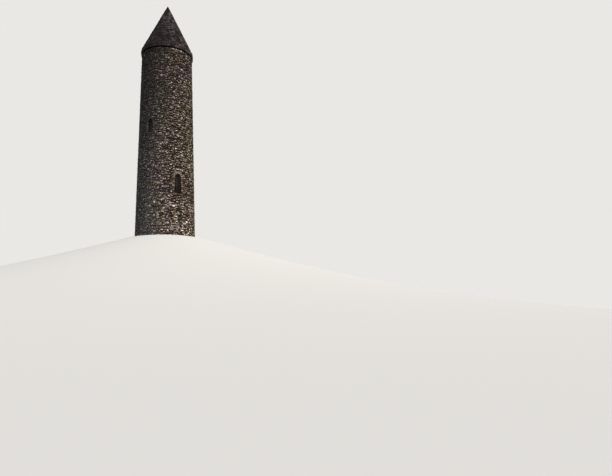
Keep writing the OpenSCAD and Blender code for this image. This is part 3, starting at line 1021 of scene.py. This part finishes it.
def set_stones(yard, node):
    """The stones stand for the CAD node that they were cut to."""
    yard.piece(f"{node}_stones", tooled_stone, "dressed_stone", [node])


print("rings in a window's stone:", len(WINDOW_LAYERS), "and in the door's:", len(DOOR_LAYERS))

# %% [markdown]
# ## Sills and jambs
#
# Each of the CAD's blocks is laid as two courses, and a long one has two stones in each. Dark
# and pale ones take turns, as in the rubble, because a pale column would stand out.

# %% Sills and jambs


def half_width(opening, h):
    return (opening.sill_w + (opening.top_w - opening.sill_w) * h / opening.jamb_h) / 2


def jamb_cells(opening):
    """The right jamb's stones, as (corners, pale)."""
    cells = []
    for i in range(opening.stones):
        low = opening.jamb_h * i / opening.stones
        high = opening.jamb_h * (i + 1) / opening.stones
        back = opening.sill_w / 2 + (opening.long if i % 2 == 0 else opening.short)
        middle = low + (high - low) * random.uniform(0.42, 0.58)
        for pale, (h0, h1) in enumerate(((low, middle), (middle, high))):
            front0, front1 = half_width(opening, h0), half_width(opening, h1)
            end = back
            if i % 2 == 0:
                end = front0 + (back - front0) * random.uniform(0.4, 0.6)
                cells.append(([(end, h0), (back, h0), (back, h1), (end, h1)], 1 - pale))
            cells.append(([(front0, h0), (end, h0), (end, h1), (front1, h1)], pale))
    return cells


for name, opening in {"door": DOOR, **WINDOWS}.items():
    sill = StoneYard(tones=(0.0, 0.6))
    wide = opening.sill_w / 2 + opening.bearing
    ends = [-wide, random.uniform(-0.4, -0.15) * wide, random.uniform(0.2, 0.45) * wide, wide]
    for x0, x1 in zip(ends[:-1], ends[1:]):
        low = -opening.sill_t
        cut_stone(sill, opening, [(x0, low), (x1, low), (x1, 0), (x0, 0)], dusty=False)
    set_stones(sill, f"{name}_sill")
    for side in ("left", "right"):
        jamb = StoneYard()
        for corners, pale in jamb_cells(opening):
            if side == "left":
                corners = [(-corners[k][0], corners[k][1]) for k in (1, 0, 3, 2)]
            cut_stone(jamb, opening, corners, tone=0.5 * (pale + random.random()))
        set_stones(jamb, f"{name}_{side}_jamb")

# %% [markdown]
# ## Arch and window heads
#
# The arch is a ring of seven wedges, a little paler than the wall, which shows its round shape.
# Each window has two long stones that lean together over a plumb joint.

# %% Arch and window heads
arch = StoneYard(tones=(0.6, 1.0))
for i in range(DOOR.arch_stones):
    a0, a1 = [math.pi * k / DOOR.arch_stones for k in (i, i + 1)]
    cut_stone(
        arch, DOOR, [(a0, ARCH_INNER), (a1, ARCH_INNER), (a1, ARCH_OUTER), (a0, ARCH_OUTER)],
        place=on_arch(DOOR), unit=(ARCH_INNER + ARCH_OUTER) / 2,
    )
set_stones(arch, "door_arch")

for name, opening in WINDOWS.items():
    head = StoneYard(tones=(0.0, 0.5))
    for side in (-1, 1):
        corners = [
            (side * HEAD_HALF, HEAD_BASE), (side * HEAD_FOOT, HEAD_BASE),
            (0.0, HEAD_TIP), (0.0, HEAD_BASE + HEAD_RISE),
        ]
        if side < 0:
            corners = [corners[1], corners[0], corners[3], corners[2]]
        cut_stone(head, opening, corners)
    set_stones(head, f"{name}_head")
    finish_node(f"{name}_lintel", tooled_stone)

# %% [markdown]
# ## Finish: the cap's slabs
#
# The cap is a corbelled cone: each course of thin slabs lies a little further in than the one
# below, with its outer ends dressed to the slope. The slabs are split schist, darker than the
# wall, because they have gathered soot and black lichen. Their lime bedding shows as dark lines.

# %% Slabs and bedding
cap_stone = weathered_stone(
    "split_dark_schist_slabs",
    [(0.0, "#080707"), (0.25, "#1b1819"), (0.5, "#2e292b"), (0.75, "#453e40"), (0.9, "#5a5152"),
     (1.0, "#6b6262")],
    shade_film="#343133", grit_mm=15, mottle_mm=80, mottle=0.34, bump_mm=7, roughness=0.85,
    lichen="#73716a", crust=0.35,
)
cap_bedding, tree = new_material("dark_lime_bedding_of_the_cap")
where = add_node(tree, "TexCoord").outputs["Object"]
gravel = add_node(tree, "TexNoise", {"Vector": where, **GRAVEL})
bedding = add_node(tree, "ValToRGB", {"Fac": gravel}, stops=[(0.3, "#121110"), (0.7, "#2b2725")])
add_surface(tree, bedding, gravel, bump_mm=8, roughness=0.95, specular=0.2)
for name in ("eaves_cornice", "roof_lower_courses", "roof_middle_courses", "roof_upper_courses"):
    finish_node(name, cap_bedding)

# %% [markdown]
# ## The cornice and the cap
#
# Both are made by the same maker as the wall, with lower, flatter rows. The cornice is two
# courses of long slabs, and the cap's courses lean out with its slope.

# %% Cornice slabs
CORNICE_LAYERS = [(-0.012, 1.0, 1.0), (0.040, 0.985, 0.4), (0.050, 0.93, 0.1), (0.054, 0.6, 0.0)]
# The cornice's slabs take only the paler tones: painted light, so that their upright face looks as
# light as the sloping cap above
cornice = StoneYard(tones=(0.35, 1.0))
cornice_beds = bed_lines(WALL_H, ROOF_Z, (0.23, 0.235), 0.0)
for corners in lay_rows(cornice_beds, cornice_r, (0.30, 0.56), tall=0.0, thin=0.0):
    make_stone(cornice, corners, on_round(cornice_r), CORNICE_LAYERS, ROOF_R, joint=0.008,
               worn=(0.005, 0.018), wobble=0.005, lumps=0.003, tilt=0.15)
cornice.piece("eaves_cornice_slabs", cap_stone, "roof_stone")

# %% Cap slabs
CAP_LAYERS = [(-0.010, 1.0, 1.0), (0.012, 0.985, 0.5), (0.019, 0.91, 0.1), (0.021, 0.6, 0.0)]
CAP_PART_H = 1.28
CAP_OVERLAP = 0.012
cap_beds = bed_lines(ROOF_Z - CAP_OVERLAP, APEX_Z - CAPSTONE_H, (0.11, 0.165), 0.004)
cap_feet = [ROOF_Z + CAP_PART_H, ROOF_Z + 2 * CAP_PART_H]
cap_yards = [StoneYard() for _ in range(3)]
for corners in lay_rows(cap_beds, cone_r, (0.18, 0.44), tall=0.0, thin=0.05):
    middle_z, part, layers = part_and_layers(corners, cap_feet, CAP_LAYERS, (0.6, 1.4))
    make_stone(cap_yards[part], corners, on_round(cone_r, ROOF_R / CONE_H), layers,
               cone_r(middle_z), joint=0.018, worn=(0.006, 0.026), wobble=0.007,
               lumps=0.003, tilt=0.25)
for yard, name in zip(cap_yards, ("lower", "middle", "upper")):
    yard.piece(f"cap_{name}_slabs", cap_stone, "roof_stone")

# %% [markdown]
# ## The capstone
#
# One cone-shaped stone closes the cap. It could be turned on a lathe modifier, but the real
# one was cut by hand and has been rounded by rain, so its rings are drawn a little out of
# true, and its point is blunted.

# %% Capstone
# Metres above its bed and out from the cone's slope, and wear, of each ring
CAPSTONE_RINGS = [
    (0.004, -0.004, 1.0), (0.008, 0.010, 0.5), (0.02, 0.018, 0.1), (0.12, 0.020, 0.0),
    (0.25, 0.018, 0.0), (0.38, 0.016, 0.0), (0.50, 0.013, 0.0), (0.58, 0.010, 0.0),
    (0.62, 0.006, 0.0), (0.638, 0.003, 0.0),
]
CAPSTONE_SIDES = 24
point = StoneYard()
around = np.arange(CAPSTONE_SIDES) / CAPSTONE_SIDES * 2 * math.pi
out_of_true = random.normal(0, 0.003, len(around))
rings = []
for up, out, _ in CAPSTONE_RINGS:
    z = APEX_Z - CAPSTONE_H + up
    r = cone_r(z) + out + out_of_true * min(1.0, cone_r(z) / 0.1)
    r = r + random.normal(0, 0.0015, len(around))
    rings.append(np.stack([r * np.sin(around), -r * np.cos(around), np.full(len(around), z)], axis=1))
point.add(np.array(rings), np.array([0.0, 0.0, APEX_Z]), [ring[2] for ring in CAPSTONE_RINGS],
          close_back=True)
point.piece("capstone_worn", cap_stone, "roof_stone", ["capstone"])

# %% [markdown]
# ## Finish: bare oak
#
# The floors are of oak boards on oak joists, sawn and hewn, and never finished. Bare oak goes
# grey-brown, and its long fibres run along the piece, about 6 mm apart.

# %% Oak


def oak_material(name, stretch):
    """Old bare oak. stretch: fibres per metre along each axis, fewest along the grain."""
    material, tree = new_material(name)
    where = add_node(tree, "TexCoord").outputs["Object"]
    fibre_at = add_node(tree, "VectorMath", {0: where, 1: stretch}, operation="MULTIPLY")
    fibre = add_node(tree, "TexNoise", {
        "Vector": fibre_at, "Scale": 1.0, "Detail": 4.0, "Roughness": 0.65,
    })
    stain = add_node(tree, "TexNoise", {"Vector": where, "Scale": 2.5, "Detail": 4.0})
    depth = add_node(tree, "Math", {0: stain, 1: 0.5, 2: fibre}, operation="MULTIPLY_ADD")
    wood = add_node(tree, "ValToRGB", {"Fac": depth}, stops=[
        (0.45, "#3b2f25"), (0.7, "#5e4c3a"), (0.9, "#7d6850"),
    ])
    add_surface(tree, wood, fibre, bump_mm=3, roughness=0.78, strength=0.8)
    print("made", name)
    return material


oak_boards = oak_material("sawn_unfinished_oak_boards", (1.5, 160.0, 160.0))
oak_joists = oak_material("hewn_unfinished_oak_joists", (160.0, 1.5, 160.0))

# %% [markdown]
# ## Floors
#
# The boards are sawn planks of 180 to 240 mm, laid across the joists and cut to the curve of
# the wall, with a hatch for the ladder. Each is a thin prism with its own worn edges. The
# joists keep their CAD solids.

# %% One board
BOARD_T = 0.045
BEVEL_IN, BEVEL_DOWN = 0.006, 0.004


def board(points, faces, outline, top):
    """One plank from its outline, as a prism with a narrow bevel around its upper edge."""
    outline = np.array(outline)
    middle = outline.mean(axis=0)
    inset = middle + (outline - middle) * (1 - BEVEL_IN / np.abs(outline - middle).max())
    base, n = len(points), len(outline)
    for ring, z in ((outline, top - BOARD_T), (outline, top - BEVEL_DOWN), (inset, top)):
        points += [(x, y, z) for x, y in ring]
    faces.append(tuple(base + k for k in reversed(range(n))))
    faces.append(tuple(base + 2 * n + k for k in range(n)))
    faces += band(base, n) + band(base + n, n)


def board_outline(y0, y1, x0, x1, r):
    """A plank between y0 and y1, cut to a circle of radius r where it would pass it."""
    ys = np.linspace(y0, y1, 5)
    reach = np.sqrt(np.maximum(r ** 2 - ys ** 2, 1e-4))
    left = list(zip(np.maximum(x0, -reach), ys))
    return list(zip(np.minimum(x1, reach), ys)) + left[::-1]


print("a board is", round(BOARD_T * 1000), "mm thick")

# %% Boarded floors
JOIST_H = 0.20
HATCH_X = 0.36
HATCH_Y = (0.25, 0.95)
BOARD_W, LEAST_BOARD_W, LAST_BOARD_W = (0.18, 0.24), 0.08, 0.32
WALL_CLEAR = 0.012
HALF_GAP = 0.003
# Beyond any wall: a board that runs so far is cut at the wall
FAR = 9

for lift, name in enumerate(("entrance", "middle", "top"), 1):
    top = round(LIFTS[lift] + JOIST_H + BOARD_T, 3)
    points, faces = [], []
    r = INNER_R[lift] - WALL_CLEAR
    cuts = [-r]
    while cuts[-1] < r - LAST_BOARD_W:
        cuts.append(cuts[-1] + random.uniform(*BOARD_W))
    cuts = [c for c in cuts if min(abs(c - h) for h in HATCH_Y) > LEAST_BOARD_W]
    cuts = sorted([*cuts, *HATCH_Y, r])
    for y0, y1 in zip(cuts[:-1], cuts[1:]):
        y0, y1 = y0 + HALF_GAP, y1 - HALF_GAP
        beside_hatch = HATCH_Y[0] < (y0 + y1) / 2 < HATCH_Y[1]
        for x0, x1 in ((-FAR, -HATCH_X), (HATCH_X, FAR)) if beside_hatch else ((-FAR, FAR),):
            board(points, faces, board_outline(y0, y1, x0, x1, r), top)
    carry(add_mesh(f"{name}_floor_boards", points, faces, oak_boards), [f"{name}_floor"])
    finish_node(f"{name}_joists", oak_joists)
    print(f"{name} floor at {top} m: {len(faces)} faces")
